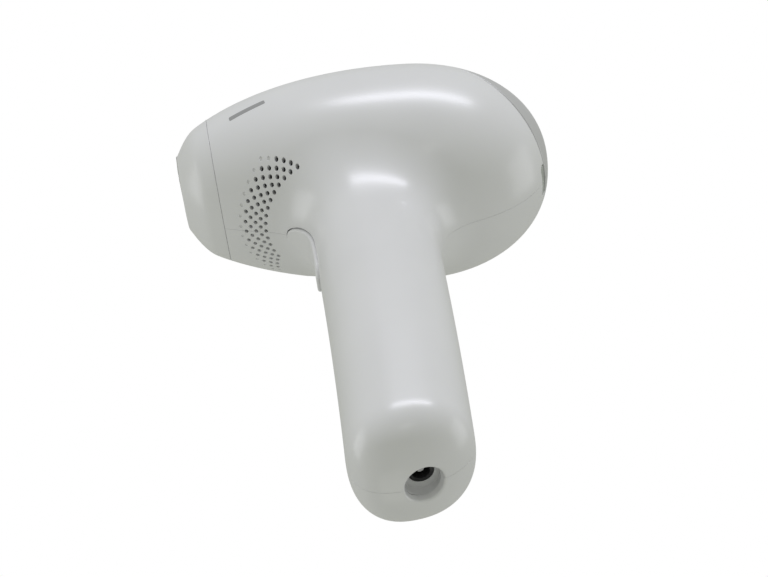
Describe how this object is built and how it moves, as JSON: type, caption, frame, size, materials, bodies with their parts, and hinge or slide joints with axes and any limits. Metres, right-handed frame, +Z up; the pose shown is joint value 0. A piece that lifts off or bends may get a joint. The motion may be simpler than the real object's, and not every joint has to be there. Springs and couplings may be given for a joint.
{
  "type": "light pulse hair remover",
  "caption": "Hand-held light pulse hair remover: a rounded head with a slide-off window attachment and dot vents, a leaning handle with a round power inlet, a trigger and a rear control panel.",
  "frame": {"origin": "centre of the flat front face of the metal window frame, the face that rests on the skin", "axes": "+Z up, -Y towards the skin window (the face itself tilts 14 degrees down), +X to the right seen from behind; the handle hangs down and leans back"},
  "size_m": [0.07, 0.1237, 0.1923],
  "materials": {
    "white_shell": "gloss",
    "white_attachment": "gloss",
    "white_button": "satin",
    "silver_panel": "metallic satin",
    "light_lens": "frosted",
    "led": "satin",
    "grey_print": "matte",
    "board": "satin",
    "black_plastic": "satin",
    "dark_plastic": "satin",
    "heat_plastic": "matte",
    "red_plastic": "satin",
    "bright_metal": "polished",
    "steel": "satin",
    "gold_contact": "satin",
    "aluminium": "satin",
    "clear_glass": "clear",
    "filter_glass": "tinted",
    "ceramic": "matte",
    "copper_winding": "satin",
    "ferrite": "matte",
    "capacitor_sleeve": "satin"
  },
  "bodies": {
    "handpiece": {"housing_right": "white_shell", "housing_left": "white_shell", "control_panel": "silver_panel", "intensity_lights": "light_lens", "intensity_leds": "led", "control_board": "board", "button_switches": "black_plastic", "ready_light_window": "light_lens", "ready_led": "led", "trigger_spring": "steel", "flash_switch": "black_plastic", "front_bezel": "dark_plastic", "contact_pins": "gold_contact", "window_glass": "clear_glass", "filter_glass": "filter_glass", "lamp_reflector": "bright_metal", "flash_lamp": "clear_glass", "lamp_electrodes": "steel", "lamp_holders": "ceramic", "optical_housing": "heat_plastic", "heat_sink": "aluminium", "air_duct": "dark_plastic", "fan_housing": "dark_plastic", "fan_motor": "copper_winding", "main_board": "board", "transformer_core": "ferrite", "transformer_coil": "copper_winding", "trigger_coil": "copper_winding", "board_capacitors": "capacitor_sleeve", "power_transistor": "black_plastic", "main_capacitor": "capacitor_sleeve", "capacitor_clamp": "dark_plastic", "capacitor_terminals": "steel", "red_leads": "red_plastic", "black_leads": "black_plastic", "input_board": "board", "line_choke": "ferrite", "inlet_cup": "white_shell", "inlet_jack": "black_plastic", "inlet_pin": "steel", "casing_screws": "steel", "side_mark": "grey_print"},
    "power_button": {"power_button": "white_button"},
    "intensity_up_button": {"intensity_up_button": "white_button"},
    "intensity_down_button": {"intensity_down_button": "white_button"},
    "flash_trigger": {"flash_trigger": "white_button"},
    "switch_plunger": {"flash_switch_plunger": "red_plastic"},
    "attachment": {"attachment_shell": "white_attachment", "window_frame": "bright_metal", "attachment_contacts": "gold_contact"},
    "fan_rotor": {"fan_rotor": "dark_plastic"}
  },
  "joints": [
    {"name": "power_button_push", "type": "slide", "parent": "handpiece", "child": "power_button", "axis": [0, -0.6428, -0.766], "range_m": [0, 0.0006], "stiffness_N_per_m": 900, "springref_m": -0.0004},
    {"name": "intensity_up_push", "type": "slide", "parent": "handpiece", "child": "intensity_up_button", "axis": [0, -0.6428, -0.766], "range_m": [0, 0.0006], "stiffness_N_per_m": 700, "springref_m": -0.0004},
    {"name": "intensity_down_push", "type": "slide", "parent": "handpiece", "child": "intensity_down_button", "axis": [0, -0.6428, -0.766], "range_m": [0, 0.0006], "stiffness_N_per_m": 700, "springref_m": -0.0004},
    {"name": "flash_trigger_push", "type": "slide", "parent": "handpiece", "child": "flash_trigger", "axis": [0, 0.9232, 0.3843], "range_m": [0, 0.0012], "stiffness_N_per_m": 900, "springref_m": -0.0008, "deforming": ["trigger_spring"]},
    {"name": "switch_plunger_push", "type": "slide", "parent": "handpiece", "child": "switch_plunger", "axis": [0, 0.9232, 0.3843], "range_m": [0, 0.0012]},
    {"name": "attachment_pull", "type": "slide", "parent": "handpiece", "child": "attachment", "axis": [0, -0.9703, -0.2419], "range_m": [0, 0.03]},
    {"name": "fan_spin", "type": "hinge", "parent": "handpiece", "child": "fan_rotor", "pos_m": [0, 0.05021, 0.0053], "axis": [0, 0.9703, 0.2419], "continuous": true}
  ],
  "couplings": [
    {"joint": "switch_plunger_push", "follows": "flash_trigger_push", "ratio": 1}
  ]
}
